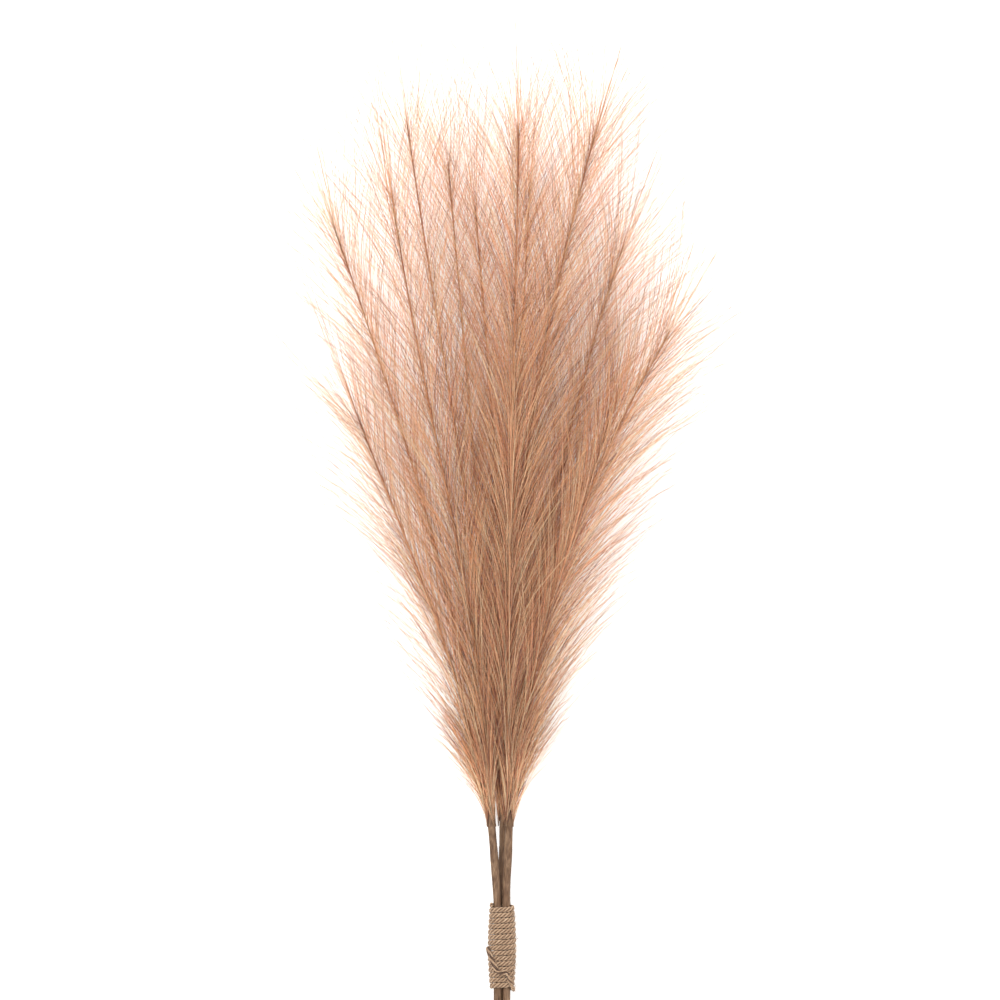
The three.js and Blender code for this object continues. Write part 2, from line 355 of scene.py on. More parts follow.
# A hair's path has this many steps, and its needle has rings after these ones
HAIR_STEPS = 16
HAIR_RINGS = np.array([0, 5, 9, 13])
STRANDS = 2200
# A strand here is one hair; with more, the hairs of a strand differ by this share of what strands do
HAIRS_IN_STRAND = 1
WITHIN_STRAND = 0.0
CROWN_STRANDS = 36
FOOT_STRANDS = 200
# Hairs per length at the stalk's foot, next to their mean; they fall in a straight line to the tip
FOOT_DENSITY = 1.52
# The bare start of a stalk, and how much of it the crown and the foot tuft take, as shares of its length
BARE_START = 0.004
CROWN_PART = 0.1
FOOT_PART = 0.05
HAIR_LENGTH = 92 * MM
# The crown's hairs are this much of the usual length, less up to the loss where they lean out, and
# the foot tuft's hairs are shorter
CROWN_LENGTH = 1.15
CROWN_LOSS = 0.2
FOOT_LENGTH = 0.72
# Hairs at these places between foot and crown: their share of HAIR_LENGTH, their share of HAIR_RADIUS,
# and their angles from the stalk at root and tip
PLACES = (0.0, 0.25, 0.8, 1.0)
LENGTHS = (0.95, 1.12, 1.28, 1.22)
RADII = (1.45, 1.15, 1.0, 1.0)
ROOT_ANGLES = (10.0, 23.0, 30.0, 29.0)
TIP_ANGLES = (36.0, 40.0, 39.0, 38.0)
# A hair bends slowly at first: its angle grows as the way to the tip to this power
BEND_POWER = 1.3
# More of the crown's hairs stand near the stalk's line: their lean is a random value to this power
LEAN_POWER = 1.6
# A few stray hairs bend out this much further, in degrees
STRAY_SHARE = 0.02
STRAY_BEND = 30
# Plumes lie down, so hairs reach up and down by this share of their reach to the sides
FLATTENING = 0.82
GOLDEN_ANGLE = np.pi * (3 - 5**0.5)

# %% How much the hairs differ
# Spreads of a hair's place on the stalk, its turn in radians, its angles in degrees, its length and
# its sway, as shares of its length, and its shade
PLACE_SPREAD = 0.003
TURN_SPREAD = 0.8
ROOT_ANGLE_SPREAD = 7.5
TIP_ANGLE_SPREAD = 10
LENGTH_SPREAD = 0.25
SWAY_SPREAD = 0.18
SHADE_SPREAD = 0.36
# How many times that spread the shades differ by, at the bundle's foot and at its tips
FOOT_SHADES = 1.4
TIP_SHADES = 1.0
# Painted shade inside the bundle: a hair that is freer than usual is paler, and a pressed one deeper, by
# this much of the difference
PRESSED_HAIR_PAINTED_SHADE = 0.3
USUAL_FREEDOM = 0.75


def spread(rng, size, count):
    """Normal random values of this size with nothing past two deviations."""
    return size * np.clip(rng.normal(0, 1, count), -2, 2)


def vary(rng, size, strands):
    """Random offsets: one spread between strands, and a share of it between the hairs of a strand."""
    shared = np.repeat(spread(rng, size, strands), HAIRS_IN_STRAND)
    return shared + spread(rng, WITHIN_STRAND * size, len(shared))


def chance(rng, strands):
    """An even random value from 0 to 1 for each hair, the same for all the hairs of a strand."""
    return np.repeat(rng.random(strands), HAIRS_IN_STRAND)


print("two hairs in three are within", round(HAIR_LENGTH * LENGTH_SPREAD / MM), "mm of the usual length")

# %% Free hairs at the bundle's foot
# They bend out this much further, in degrees, and are this share longer
FREE_BEND = 16
FREE_GROWTH = 0.25
# The share of the hairs that point out of the bundle that are missing at its foot, and the power
# that it fades with on the way up
OUTSIDE_LOSS = 0.86
LOSS_POWER = 1.5
# These plumes stand free at the side, so their feet are thin all round
OUTER = ("outer_left", "low_left", "mid_right", "outer_right")
# A hair reaches at most this far past the solid's box, in x, y and z
PAST_BOX = np.array([17, 27, 11]) * MM
box_edges = np.array([list(corner) for corner in cad_box])
print("hair may reach, in mm:", (1000 * (box_edges + PAST_BOX * [[-1], [1]])).round().tolist())

# %% [markdown]
# ## Hairs that reach the surface
#
# The bundle's weight presses the lowest plumes on the surface, and their hairs lie along it. Cutting
# the hairs off there would show, so each one that would pass through is laid down flat instead, at a
# height of its own.

# %% Paths of the hairs
FLOOR_CLEARANCE = 0.4 * MM
# Flattened hairs lie up to this many clearances higher, and still slope by this share of their slope
REST_LAYERS = 6
REST_SLOPE = 0.04


def hair_spots(rng, order, along_stalk, strands, crown, foot):
    """How far up its stalk each hair leaves it, 0 to 1. Hairs per length fall in a straight line from
    foot to tip, so their running total is a parabola, and each hair is where its number is reached."""
    place = np.clip((order + chance(rng, strands)) / along_stalk, 0, 1)
    fall = 2 * (FOOT_DENSITY - 1)
    spot = (FOOT_DENSITY - np.sqrt(FOOT_DENSITY**2 - 2 * fall * place)) / fall
    spot = np.where(crown, 1 - CROWN_PART * rng.random(len(order)), spot)
    spot = np.where(foot, FOOT_PART * rng.random(len(order)), spot)
    spot = BARE_START + (1 - BARE_START) * spot
    return np.clip(spot + vary(rng, PLACE_SPREAD, strands), 0, 1)


def bent_paths(forward, outward, sideways, start, finish, length, sway):
    """A path adds up short steps: cos(angle) along the stalk, sin(angle) away from it and some sway to
    one side. The angle grows from start to finish on the way to the tip."""
    step = (np.arange(HAIR_STEPS) + 0.5) / HAIR_STEPS
    angle = start[:, None] + (finish - start)[:, None] * step**BEND_POWER
    wander = sway[:, None] * step
    moves = (
        np.cos(angle)[..., None] * forward[:, None]
        + np.sin(angle)[..., None] * outward[:, None]
        + wander[..., None] * sideways[:, None]
    )
    moves *= (length / HAIR_STEPS)[:, None, None]
    return np.concatenate([np.zeros((len(length), 1, 3)), np.cumsum(moves, axis=1)], axis=1)


def settle(rng, path, root):
    """Moves paths to their roots, shrinks those that reach too far, and lays those that would pass
    through the surface down on it."""
    tip = path[:, -1]
    edge = np.where(tip > 0, box_edges[1] + PAST_BOX, box_edges[0] - PAST_BOX)
    path *= np.clip((edge - root) / tip, 0, 1).min(axis=1)[:, None, None]
    path += root[:, None]
    rest = FLOOR_CLEARANCE * (1 + REST_LAYERS * rng.random(len(root)))[:, None]
    height = path[..., 2]
    path[..., 2] = np.where(height < rest, rest + REST_SLOPE * (height - rest), height)
    path[..., 2] = np.maximum(path[..., 2], FLOOR_CLEARANCE)
    return path


# %% The hairs of one plume
def grow_hairs(name, seed, tint, fullness):
    """A plume's hairs, evenly turned round the stalk by the golden angle, as the vertices and UVs of
    needles. Angles are those of the hair's place, and less where the bundle presses it."""
    rng = np.random.default_rng(seed)
    line = stalk_lines[name][:, :3]
    along, side, up = square_frame(line, UPWARDS)
    along_stalk = round(STRANDS * fullness)
    strands = along_stalk + CROWN_STRANDS + FOOT_STRANDS
    order = np.repeat(np.arange(strands), HAIRS_IN_STRAND)
    crown = (order >= along_stalk) & (order < along_stalk + CROWN_STRANDS)
    foot = order >= along_stalk + CROWN_STRANDS

    spot = hair_spots(rng, order, along_stalk, strands, crown, foot)
    turn = order * GOLDEN_ANGLE + vary(rng, TURN_SPREAD, strands)
    at = spot * (len(line) - 1)
    low = np.minimum(at.astype(int), len(line) - 2)
    part = (at - low)[:, None]
    root = line[low] * (1 - part) + line[low + 1] * part
    forward = unit(along[low] * (1 - part) + along[low + 1] * part)
    outward = np.cos(turn)[:, None] * side[low] + FLATTENING * np.sin(turn)[:, None] * up[low]
    sideways = unit(np.cross(forward, outward))

    # Near the fork a hair that points into the bundle is pressed flat; towards the tips all are free
    risen, outside = surroundings(root, unit(outward))
    free = 1 - CROWDING * (1 - outside) * (1 - risen)
    start = np.interp(spot, PLACES, ROOT_ANGLES) + vary(rng, ROOT_ANGLE_SPREAD, strands)
    finish = np.interp(spot, PLACES, TIP_ANGLES) + vary(rng, TIP_ANGLE_SPREAD, strands)
    finish += FREE_BEND * outside * (1 - risen)
    finish += STRAY_BEND * (chance(rng, strands) < STRAY_SHARE)
    # The crown's hairs stand anywhere between straight on and fully out
    lean = chance(rng, strands) ** LEAN_POWER
    start = np.where(crown, lean, free) * start
    finish = np.where(crown, lean, free) * finish
    start, finish = np.radians(start), np.radians(np.maximum(finish, start))
    length = HAIR_LENGTH * np.interp(spot, PLACES, LENGTHS) * (1 + vary(rng, LENGTH_SPREAD, strands))
    length *= np.where(crown, CROWN_LENGTH - CROWN_LOSS * lean, np.where(foot, FOOT_LENGTH, 1))
    length *= 1 + FREE_GROWTH * outside * (1 - risen)
    sway = vary(rng, SWAY_SPREAD, strands)
    path = settle(rng, bent_paths(forward, outward, sideways, start, finish, length, sway), root)

    thickness = np.exp(spread(rng, RADIUS_SPREAD, len(order)))
    radius = HAIR_RADIUS * np.interp(spot, PLACES, RADII) * thickness
    differing = FOOT_SHADES - (FOOT_SHADES - TIP_SHADES) * risen
    # Hairs pressed into the bundle near the fork get a lower v as painted shade, deeper on the
    # pink-to-straw scale
    shade = tint + PRESSED_HAIR_PAINTED_SHADE * (free - USUAL_FREEDOM) + vary(rng, SHADE_SPREAD, strands) * differing
    loss = OUTSIDE_LOSS * np.where(name in OUTER, 1, outside) * (1 - risen) ** LOSS_POWER
    kept = foot | (chance(rng, strands) > loss)
    return needles(path[kept], radius[kept], np.clip(shade, 0, 1)[kept])


# %% Needles along paths
# A direction that no hair runs along, to set the needles' corners by
ODD_DIRECTION = np.array([0.31, 0.17, 0.93])
# The share of its radius that a needle has lost where it starts to run to a point
THINNING = 0.5


def needles(path, radius, shade):
    """Closed three-sided needles along paths of HAIR_STEPS steps. Their radius shrinks as 1 - thinning *
    u^2 up to the last ring, then runs to a point. u is the share of the way to the tip, v the shade."""
    count = len(path)
    direction = unit(np.gradient(path, axis=1))[:, HAIR_RINGS]
    across = unit(np.cross(direction, ODD_DIRECTION))
    flat = np.cross(direction, across)
    share = HAIR_RINGS / HAIR_STEPS
    corner = 2 * np.pi * np.arange(3) / 3
    ring = np.cos(corner)[:, None] * across[:, :, None] + np.sin(corner)[:, None] * flat[:, :, None]
    thick = radius[:, None] * (1 - THINNING * share**2)
    rings = path[:, HAIR_RINGS][:, :, None] + thick[..., None, None] * ring
    vertices = np.concatenate([rings.reshape(count, -1, 3), path[:, -1:]], axis=1)
    u = np.concatenate([np.repeat(share, 3), [1.0]])
    shape = (count, len(u))
    uv = np.stack([np.broadcast_to(u, shape), np.broadcast_to(shade[:, None], shape)], axis=-1)
    return vertices, uv


def needle_faces(count):
    """Faces of three-sided needles: a base, quads between rings, and three faces that meet at a tip."""
    rings = len(HAIR_RINGS)
    size = 3 * rings + 1
    shift = np.arange(count)[:, None, None] * size
    ring, side = np.meshgrid(np.arange(rings - 1), np.arange(3), indexing="ij")
    here, after = (ring * 3 + side).ravel(), (ring * 3 + (side + 1) % 3).ravel()
    quads = np.stack([here, after, after + 3, here + 3], axis=1)
    last = 3 * (rings - 1)
    tip = np.array([[0, 2, 1], *[[last + i, last + (i + 1) % 3, size - 1] for i in range(3)]])
    return [(quads[None] + shift).reshape(-1, 4), (tip[None] + shift).reshape(-1, 3)]


def put_needles(name, vertices, uv, material, replaces=None):
    """One piece out of many needles."""
    faces = needle_faces(len(vertices))
    uv = uv.reshape(-1, 2)[np.concatenate([f.ravel() for f in faces])]
    return put_piece(name, vertices.reshape(-1, 3), faces, uv, material, replaces)


print("triangles in a hair:", sum((f.shape[1] - 2) * len(f) for f in needle_faces(1)))

# %% [markdown]
# ## The plumes of this bundle
#
# No two plumes are alike: some are pinker, and those at the back and high up are thin enough to see
# through. Each is grown with a seed of its own, so a plume stays the same when another is changed.

# %% Grow the plumes
# How straw-coloured each plume is, from 0, pink, to 1, straw
USUAL_TINT = 0.5
TINTS = {
    "centre": 0.47,
    "back_centre": 0.4,
    "back_middle": 0.44,
    "outer_left": 0.6,
    "low_left": 0.55,
}

# How full each plume is next to a usual one
FULLNESS = {
    "outer_left": 0.72,
    "low_left": 0.72,
    "upper_left": 0.54,
    "tall_left": 0.46,
    "back_left": 0.36,
    "back_middle": 0.46,
    "back_centre": 0.64,
    "centre": 0.8,
    "tall_right": 1.1,
    "mid_right": 0.78,
    "outer_right": 0.85,
}

HAIR_SEED = 100
hair_count = 0
for order, name in enumerate(PLUMES):
    tint = TINTS.get(name, USUAL_TINT)
    vertices, uv = grow_hairs(name, HAIR_SEED + order, tint, FULLNESS.get(name, 1))
    put_needles(f"hair_{name}", vertices, uv, hair, f"plume_{name}")
    hair_count += len(vertices)
print("hairs in the bundle:", hair_count)

# %% [markdown]
# ## Stems
#
# A cut cane of pampas grass is wrapped in dry leaf sheaths, so it feels like brown paper rolled round a
# stick: fine ridges run along it, and the sheath's free edge winds slowly up it as a low step. A plain
# cylinder with a bump would do from afar, but the step and the ridges show on the outline, so they are
# worked into the radius itself, which is a function of the angle round the stem and the way up it. The
# cut end shows pale pith, a little sunken.


# %% Shape of a stem
STEM_SIDES = 40
STEM_RINGS = 150
RIDGES = 13
RIDGE_DEPTH = 0.05 * MM
# The ridges waver: their phase moves by this many radians each way, over this length
RIDGE_WAVER = 2
RIDGE_WAVER_LENGTH = 9 * MM
SHEATH_STEP = 0.28 * MM
# The free edge of the sheath goes once round the stem over this length
SHEATH_TURN = 95 * MM
# The stem swells and shrinks over the first length, and winds to one side over the second
WOBBLE = 0.12 * MM
SWELLING_LENGTH = 7 * MM
WINDING_LENGTH = 16 * MM
# Each stem's wobble starts somewhere in this many radians
WOBBLE_START = 6
# The sheath's mouth holds the feet of the stalks, and closes in to this share over this length
MOUTH_SHARE = 0.62
MOUTH_LENGTH = 9 * MM
# The cut end, from the middle of the pith outwards: share of the radius, and how far it is sunken
CUT_END = ((0.4, 0.9 * MM), (0.55, 0.25 * MM), (0.62, 0.0), (0.94, 0.0))


def stem_surface(rings, seed):
    """Radius = the frame's radius + ridges + a spiral step + a slow wobble, less the step's height."""
    rng = np.random.default_rng(seed)
    line = smooth_line(rings, STEM_RINGS)
    along, side, up = square_frame(line[:, :3], UPWARDS)
    angle = 2 * np.pi * np.arange(STEM_SIDES) / STEM_SIDES
    height = line[:, 1:2] - line[0, 1]
    scroll = (angle / (2 * np.pi) + height / SHEATH_TURN + rng.random()) % 1
    waver = RIDGE_WAVER * np.sin(height / RIDGE_WAVER_LENGTH)
    ridges = RIDGE_DEPTH * np.sin(RIDGES * angle + waver + rng.random())
    wave = np.sin(height / SWELLING_LENGTH + WOBBLE_START * rng.random())
    wave = wave + np.sin(angle + height / WINDING_LENGTH)
    mouth = rings[0, 3] * np.interp(line[-1, 1] - line[:, 1], (0, MOUTH_LENGTH), (MOUTH_SHARE, 1))
    radius = np.maximum(line[:, 3], mouth)[:, None]
    radii = radius + ridges + SHEATH_STEP * (scroll - 1) + WOBBLE * (wave - 1)
    depth = np.array([sunken for _, sunken in CUT_END])[:, None]
    inner = np.array([share for share, _ in CUT_END])[:, None] * radii[:1]
    middle = np.concatenate([line[:1, :3] + depth * along[0], line[:, :3]])
    frames = [np.concatenate([np.repeat(f[:1], len(CUT_END), axis=0), f]) for f in (side, up)]
    return around(middle, *frames, np.concatenate([inner, radii]))


print("ridges are", round(2 * np.pi * stem_rings["back"][0, 3] / RIDGES / MM, 1), "mm apart")

# %% [markdown]
# ## The stem's finish
#
# A dry leaf sheath is matt brown paper with darker streaks along its veins, and blotches where it was
# wet. An image of bark could be wrapped round the stem, but noise stretched along the stem gives streaks
# that never repeat. The noise reads the stem's own coordinates, so its sizes are real lengths.


# %% Cane
def make_cane():
    """Dry cane in papery sheaths: no shine, streaks along it, blotches, and pale pith where cut."""
    material, shader = new_material("papery_cane", roughness=0.78, ior=1.48)
    place = add(material, "TexCoord")
    # Streaks are 0.5 mm wide and about 9 mm long, blotches about 4 mm by 12 mm
    streak_scale = {"Scale": (2000, 110, 2000)}
    blotch_scale = {"Scale": (250, 80, 250)}
    streaks_at = add(material, "Mapping", streak_scale, Vector=place.outputs["Object"])
    blotch_at = add(material, "Mapping", blotch_scale, Vector=place.outputs["Object"])
    streaks = add(material, "TexNoise", {"Scale": 1.0, "Detail": 4.0}, Vector=streaks_at.outputs[0])
    blotch = add(material, "TexNoise", {"Scale": 1.0, "Detail": 3.0}, Vector=blotch_at.outputs[0])
    bark = ((0.25, "#3c2c20"), (0.46, "#725742"), (0.6, "#8a6e54"), (0.8, "#ad9274"))
    dull = ((0.3, "#b9a692"), (0.7, "#ffffff"))
    colour = add(material, "ValToRGB", stops=bark, i0=streaks.outputs["Fac"])
    shade = add(material, "ValToRGB", stops=dull, i0=blotch.outputs["Fac"])
    skin = add(material, "Mix", MULTIPLY, i6=colour.outputs[0], i7=shade.outputs[0])
    strand = add(material, "UVMap", {"uv_map": "strand"})
    part = add(material, "SeparateXYZ", i0=strand.outputs["UV"])
    cut = add(material, "Math", {"operation": "LESS_THAN", 1: 0.5}, i0=part.outputs["X"])
    pith = {"data_type": "RGBA", 7: linear("#d8bd90")}
    whole = add(material, "Mix", pith, i0=cut.outputs[0], i6=skin.outputs[2])
    relief = {"Distance": 0.2 * MM, "Strength": 0.6}
    bump = add(material, "Bump", relief, Height=streaks.outputs["Fac"])
    material.node_tree.links.new(whole.outputs[2], shader.inputs["Base Color"])
    material.node_tree.links.new(bump.outputs[0], shader.inputs["Normal"])
    return material


# %% Make the stems
STEM_SEED = 10
cane = make_cane()
for order, name in enumerate(STEMS):
    vertices = stem_surface(stem_rings[name], STEM_SEED + order)
    rings = len(vertices) // STEM_SIDES
    # u is 0 on the pith and 1 on the skin
    skin = (np.arange(rings) >= len(CUT_END) - 1).astype(float)
    uv = tube_uv(skin, STEM_SIDES)
    faces = tube_faces(rings, STEM_SIDES)
    put_piece(f"cane_{name}", vertices, faces, uv, cane, f"stem_{name}")

# %% [markdown]
# ## Stalks
#
# The middle of each plume is a wiry stalk. Where the hair is thin, near the tip, it shows as a fine dark
# line, and its very end is the darkest part. It carries a small swelling wherever side shoots leave it.
# A curve with a round bevel would give a smooth wire; working out the radius gives the swellings too.


# %% Shape and material of the stalks
STALK_SIDES = 8
SWELLINGS_APART = 7 * MM
SWELLING = 0.16
# How narrow a swelling is: a higher power is narrower
SWELLING_POWER = 8
# A stalk thins towards its foot over this length, to this share of its radius
STALK_TAPER = 14 * MM
STALK_FOOT = 0.4
STALK_TIP = 0.5


def stalk_surface(line):
    """Radius = the frame's radius at a swelling, and less between: cos to a power of the way from one
    swelling to the next says how near one is."""
    side, up = square_frame(line[:, :3], UPWARDS)[1:]
    beat = np.cos(np.pi * (line[:, 1] - line[0, 1]) / SWELLINGS_APART) ** SWELLING_POWER
    radii = line[:, 3] * (1 + SWELLING * (beat - 1))
    radii *= np.interp(line[:, 1] - line[0, 1], (0, STALK_TAPER), (STALK_FOOT, 1))
    radii[-1] *= STALK_TIP
    return around(line[:, :3], side, up, np.repeat(radii[:, None], STALK_SIDES, axis=1))


def make_stalk_skin():
    """Dry stalk, smoother than a sheath: brown at its foot, warm tan along it, red-brown at its tip."""
    material, shader = new_material("dry_stalk", roughness=0.65, ior=1.48)
    strand = add(material, "UVMap", {"uv_map": "strand"})
    part = add(material, "SeparateXYZ", i0=strand.outputs["UV"])
    foot_to_tip = (
        (0.0, "#7d6046"),
        (0.1, "#b07c55"),
        (0.8, "#cc9068"),
        (0.95, "#9a5c40"),
        (1.0, "#5f3324"),
    )
    colour = add(material, "ValToRGB", stops=foot_to_tip, i0=part.outputs["X"])
    place = add(material, "TexCoord")
    # Flecks are about 1.5 mm across
    flecks = add(material, "TexNoise", {"Scale": 650.0, "Detail": 2.0}, Vector=place.outputs["Object"])
    pale = ((0.35, "#c9b8a8"), (0.65, "#ffffff"))
    shade = add(material, "ValToRGB", stops=pale, i0=flecks.outputs["Fac"])
    whole = add(material, "Mix", MULTIPLY, i6=colour.outputs[0], i7=shade.outputs[0])
    material.node_tree.links.new(whole.outputs[2], shader.inputs["Base Color"])
    return material


stalk_skin = make_stalk_skin()
for name, line in stalk_lines.items():
    vertices = stalk_surface(line)
    uv = tube_uv(np.linspace(0, 1, len(line)), STALK_SIDES)
    faces = tube_faces(len(line), STALK_SIDES)
    put_piece(f"rachis_{name}", vertices, faces, uv, stalk_skin, f"stalk_{name}")

# %% [markdown]
# ## The twine
#
# The binding is jute craft cord: three plies twisted together, wound round the stems from the top down,
# with its frayed end lying back across the turns. One round tube with a twisted bump would look like
# plastic rope, so each ply is a tube of its own. The cord's route is worked out first, as the solid has
# it, and each ply winds about that route. Loose fibres stand off it as fuzz.


# %% The cord's route
CORD_HALF_WIDTH = 1.75 * MM
CORD_HALF_THICKNESS = 1.2 * MM
CORD_GAP = 0.3 * MM
CORD_TURNS = 15.6
TURN_GAP = 0.4 * MM
# The binding is this much thicker in its middle than at its ends
SWELL = 1.4 * MM
# The end lies back over this many turns while it goes round by TAIL_SWEEP, once it has climbed on top
# of them in the first share of its way
TAIL_TURNS = 8
TAIL_SWEEP = np.radians(150)
TAIL_RISE = 1 / 3
# Points of the route: in one turn, in the tail, and then evenly this far apart
TURN_POINTS = 72
TAIL_POINTS = 60
CORD_STEP = 0.55 * MM
# Corners are rounded by taking the mean of this many points
ROUNDING = 5
# The end frays over the cord's length divided by this
FRAY_PART = 22

pitch = 2 * CORD_HALF_WIDTH + TURN_GAP
binding_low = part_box("binding_twine")[0][1] + CORD_HALF_WIDTH
binding_length = CORD_TURNS * pitch
stem_feet = np.array([rings[0] for rings in stem_rings.values()])


def wrap(angle, y, lift):
    """The point that lies furthest out from the stems in direction angle, plus the cord's offset."""
    out = np.stack([np.cos(angle), np.zeros_like(angle), np.sin(angle)], axis=1)
    furthest = (stem_feet[:, :3] @ out.T).argmax(axis=0)
    risen = np.clip((y - binding_low) / binding_length, 0, 1)
    offset = stem_feet[0, 3] + CORD_GAP + CORD_HALF_THICKNESS + SWELL * np.sin(np.pi * risen) + lift
    point = stem_feet[furthest, :3] + offset[:, None] * out
    point[:, 1] = y
    return point, out


def cord_route():
    """Turns down the binding, then the end back over them; evenly spaced, with its corners rounded."""
    turn = np.linspace(0, CORD_TURNS, round(CORD_TURNS * TURN_POINTS))
    tail = np.linspace(0, 1, TAIL_POINTS)[1:]
    climbed = np.clip((tail - TAIL_RISE) / (1 - TAIL_RISE), 0, 1)
    angle = np.concatenate([2 * np.pi * (turn - CORD_TURNS), tail * TAIL_SWEEP])
    down = binding_low + (CORD_TURNS - turn) * pitch
    y = np.concatenate([down, binding_low + TAIL_TURNS * pitch * climbed])
    over = (2 * CORD_HALF_THICKNESS + CORD_GAP) * np.clip(tail / TAIL_RISE, 0, 1)
    point, out = wrap(angle, y, np.concatenate([np.zeros(len(turn)), over]))
    run = np.concatenate([[0], np.cumsum(np.linalg.norm(np.diff(point, axis=0), axis=1))])
    even = np.arange(0, run[-1], CORD_STEP)
    point = np.stack([np.interp(even, run, column) for column in point.T], axis=1)
    out = np.stack([np.interp(even, run, column) for column in out.T], axis=1)
    means = np.ones(ROUNDING) / ROUNDING
    edge = ROUNDING // 2
    point[edge:-edge] = np.stack([np.convolve(column, means, "valid") for column in point.T], axis=1)
    tail_start = run[len(turn) - 1]
    frayed = np.clip((even - tail_start) / (run[-1] / FRAY_PART), 0, 1)
    return point, unit(out), even, frayed


cord_path, cord_out, cord_run, cord_tail = cord_route()
print("twine is", round(1000 * cord_run[-1]), "mm long")

# %% Shape of a ply
PLIES = 3
PLY_SIDES = 8
PLY_RADIUS = 0.92 * MM
# A ply goes once round the cord over this length
TWIST_PITCH = 9 * MM
# Long and short lumps: their height as a share of the radius, and their length
LUMP = 0.05
LUMP_LENGTH = 2.3 * MM
SHORT_LUMP = 0.04
SHORT_LUMP_LENGTH = 0.9 * MM
# The next ply's lumps are this many radians on
LUMP_SHIFT = 2
# At the frayed end the plies lie this far apart, have lost this share of their radius, and end in this
# share of it
FRAYED_APART = 1.5 * MM
FRAYED_LOSS = 0.45
PLY_END = 0.4


def ply_surface(index):
    """Ply middle = route + cos(twist) * wide offset across + sin(twist) * thin offset outwards. Towards
    the cord's end the plies part and thin out."""
    along = unit(np.gradient(cord_path, axis=0))
    across = unit(np.cross(along, cord_out))
    outward = np.cross(across, along)
    twist = 2 * np.pi * (cord_run / TWIST_PITCH + index / PLIES)
    wide = (CORD_HALF_WIDTH + TURN_GAP / 2 - PLY_RADIUS) * np.cos(twist) * (1 - cord_tail)
    wide += (index - 1) * FRAYED_APART * cord_tail
    thin = (CORD_HALF_THICKNESS - PLY_RADIUS) * np.sin(twist) * (1 - cord_tail)
    middle = cord_path + wide[:, None] * across + thin[:, None] * outward
    turn = twist[:, None]
    away = np.cos(turn) * across + np.sin(turn) * outward
    beside = np.sin(turn) * across - np.cos(turn) * outward
    lumps = 1 + LUMP * np.sin(cord_run / LUMP_LENGTH + LUMP_SHIFT * index)
    lumps = lumps + SHORT_LUMP * np.sin(cord_run / SHORT_LUMP_LENGTH)
    radius = PLY_RADIUS * lumps * (1 - FRAYED_LOSS * cord_tail)
    radius[[0, -1]] *= PLY_END
    return around(middle, away, beside, np.repeat(radius[:, None], PLY_SIDES, axis=1))


plies = [ply_surface(index) for index in range(PLIES)]
slant = np.arctan(2 * np.pi * (CORD_HALF_WIDTH - PLY_RADIUS) / TWIST_PITCH)
print("the plies slant across the cord by", round(np.degrees(slant)), "degrees")

# %% [markdown]
# ## Jute
#
# Jute is a coarse, woody fibre, spun without any finish, so the cord is matt, and every thread of it has
# a brown of its own. Light and shade alone would give soft creases between the plies, so a ramp round
# each ply paints shade into them.


# %% Spun jute
def make_jute():
    """Spun jute: no shine, a dusty sheen, lighter and darker threads that run along each ply, and
    painted shade in the creases between plies.
    """
    material, shader = new_material("spun_jute", roughness=0.85, ior=1.5, sheen=0.2)
    strand = add(material, "UVMap", {"uv_map": "strand"})
    # u is the ply's length in millimetres, v goes round it: threads are 0.4 mm wide and 4 mm long
    long_threads = {"Scale": (0.25, 14, 1)}
    threads_at = add(material, "Mapping", long_threads, Vector=strand.outputs["UV"])
    threads = add(material, "TexNoise", {"Scale": 1.0, "Detail": 3.0}, Vector=threads_at.outputs[0])
    dark_to_light = ((0.25, "#745a45"), (0.45, "#a88b70"), (0.6, "#c6a98c"), (0.8, "#f6e2c6"))
    colour = add(material, "ValToRGB", stops=dark_to_light, i0=threads.outputs["Fac"])
    part = add(material, "SeparateXYZ", i0=strand.outputs["UV"])
    # Painted crease shade: v is 0 where a ply faces out of the cord and 0.5 where it meets the others,
    # in the crease, which this ramp paints dark
    painted_crease_shade = (
        (0.0, "#ffffff"),
        (0.22, "#d8ccc0"),
        (0.36, "#6a5648"),
        (0.64, "#6a5648"),
        (0.78, "#d8ccc0"),
        (1.0, "#ffffff"),
    )
    shade = add(material, "ValToRGB", stops=painted_crease_shade, i0=part.outputs["Y"])
    whole = add(material, "Mix", MULTIPLY, i6=colour.outputs[0], i7=shade.outputs[0])
    relief = {"Distance": 0.25 * MM, "Strength": 0.8}
    bump = add(material, "Bump", relief, Height=threads.outputs["Fac"])
    material.node_tree.links.new(whole.outputs[2], shader.inputs["Base Color"])
    material.node_tree.links.new(bump.outputs[0], shader.inputs["Normal"])
    return material


# %% Make the plies
jute = make_jute()
for index, vertices in enumerate(plies):
    uv = tube_uv(cord_run / MM, PLY_SIDES)
    faces = tube_faces(len(cord_run), PLY_SIDES)
    put_piece(f"jute_ply_{index + 1}", vertices, faces, uv, jute, "binding_twine")

# %% [markdown]
# ## Fuzz on the twine
#
# Short ends of fibre stand off spun jute everywhere, and its outline is never clean. A rough bump can't
# change the outline, so the ends are needles, made by the same function as the hairs.

# %% Grow the fuzz
FUZZ_FIBRES = 700
FUZZ_LENGTH = 5 * MM
FUZZ_RADIUS = 0.045 * MM
# Least and most of a fibre's length and radius, next to the usual, and of its lift off the cord
FUZZ_LENGTHS = (0.5, 1.4)
FUZZ_RADII = (0.6, 1.3)
FUZZ_LIFTS = (0.1, 0.7)
# How far fibres stray to the side, for their length
FUZZ_STRAYING = 0.5
# Where fibres leave the cord: up to this share of its half width across, at this share of its height
FUZZ_ACROSS = 0.8
FUZZ_HEIGHT = 0.6


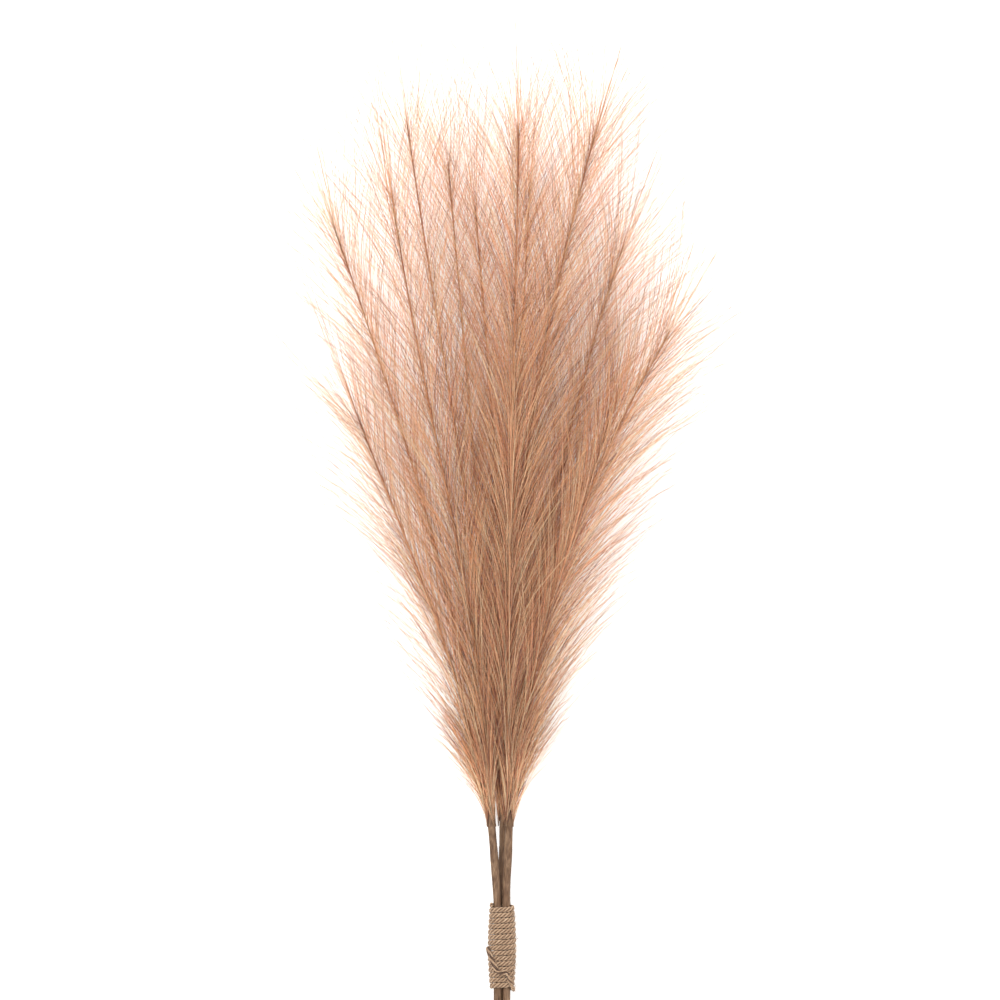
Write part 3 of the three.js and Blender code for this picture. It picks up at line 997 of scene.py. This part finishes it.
def grow_fuzz(seed):
    """Fibres leave the cord along it and lift off outwards as the square of the way to their tip."""
    rng = np.random.default_rng(seed)
    at = rng.integers(0, len(cord_path), FUZZ_FIBRES)
    along = np.gradient(cord_path, axis=0)[at]
    along = unit(along) * rng.choice([-1, 1], FUZZ_FIBRES)[:, None]
    across = unit(np.cross(along, cord_out[at]))
    t = np.linspace(0, 1, HAIR_STEPS + 1)[:, None]
    length = FUZZ_LENGTH * rng.uniform(*FUZZ_LENGTHS, (FUZZ_FIBRES, 1, 1))
    sideways = rng.normal(0, FUZZ_STRAYING, (FUZZ_FIBRES, 1, 1)) * across[:, None]
    lift = rng.uniform(*FUZZ_LIFTS, (FUZZ_FIBRES, 1, 1)) * cord_out[at][:, None]
    beside = CORD_HALF_WIDTH * rng.uniform(-FUZZ_ACROSS, FUZZ_ACROSS, (FUZZ_FIBRES, 1))
    root = cord_path[at] + beside * across + FUZZ_HEIGHT * CORD_HALF_THICKNESS * cord_out[at]
    path = root[:, None] + length * (t * along[:, None] + t * sideways + t**2 * lift)
    path[..., 2] = np.maximum(path[..., 2], FLOOR_CLEARANCE)
    radius = FUZZ_RADIUS * rng.uniform(*FUZZ_RADII, FUZZ_FIBRES)
    # v is random, so the jute's painted crease shade darkens some fibres at random
    return needles(path, radius, rng.random(FUZZ_FIBRES))


vertices, uv = grow_fuzz(seed=50)
put_needles("jute_fuzz", vertices, uv, jute)

# %% [markdown]
# ## Stage and light
#
# The bundle lies on a pale studio table that glows a little, so that no dark shadow shows between the
# hairs. Two broad soft lights stand on either side of the camera: a small bright lamp would draw every
# hair's shadow sharply, and soft hair needs soft light.

# %% Stage and lights
# The surface reaches this far each way, in metres, so its edge is out of sight
SURFACE_REACH = 20.0
# The point that the lights are aimed at
AIM = np.array([0.0, 0.0, 50 * MM])


def make_stage():
    """A pale matt surface under the bundle: a square about the origin."""
    mesh = bpy.data.meshes.new("surface")
    far = SURFACE_REACH
    corners = [(-far, -far, 0), (far, -far, 0), (far, far, 0), (-far, far, 0)]
    mesh.from_pydata(corners, [], [(0, 1, 2, 3)])
    surface = bpy.data.objects.new("surface", mesh)
    bpy.context.scene.collection.objects.link(surface)
    material, shader = new_material("pale_surface", roughness=0.9, ior=1.45)
    shader.inputs["Base Color"].default_value = linear("#f4f3f1")
    shader.inputs["Emission Color"].default_value = linear("#ffffff")
    shader.inputs["Emission Strength"].default_value = 0.35
    mesh.materials.append(material)
    surface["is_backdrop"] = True


def add_area_light(name, place, size, power):
    """A square soft light at a place, aimed at the bundle. Sizes are in metres and power in watts."""
    data = bpy.data.lights.new(name, "AREA")
    data.size = size
    data.energy = power
    light = bpy.data.objects.new(name, data)
    light.location = place
    light.rotation_mode = "QUATERNION"
    light.rotation_quaternion = Vector(AIM - np.array(place)).to_track_quat("-Z", "Y")
    bpy.context.scene.collection.objects.link(light)
    print(f"{name} light: {power:.0f} W over {size:.1f} m")


make_stage()
add_area_light("key", (-0.9, 0.9, 2.4), 1.6, 70.0)
add_area_light("fill", (1.4, -0.4, 2.3), 2.0, 32.0)
world = bpy.data.worlds.new("studio")
bpy.context.scene.world = world
world.use_nodes = True
background = world.node_tree.nodes["Background"]
background.inputs["Color"].default_value = (1, 1, 1, 1)
background.inputs["Strength"].default_value = 0.7
bpy.context.scene.view_settings.view_transform = "Standard"

# %% [markdown]
# ## Sizes
#
# The solid's box and the finished bundle's box are written down, to be compared. The hairs reach a
# little past the solid plumes, which are as thick as their hair is where it begins to thin out.

# %% Sizes and finish
visual_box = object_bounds()
for corner, visual, cad in zip(("low", "high"), visual_box, cad_box):
    past = [round((a - b) / MM) for a, b in zip(visual, cad)]
    print(f"visual minus cad at the {corner} corner, in mm:", past)
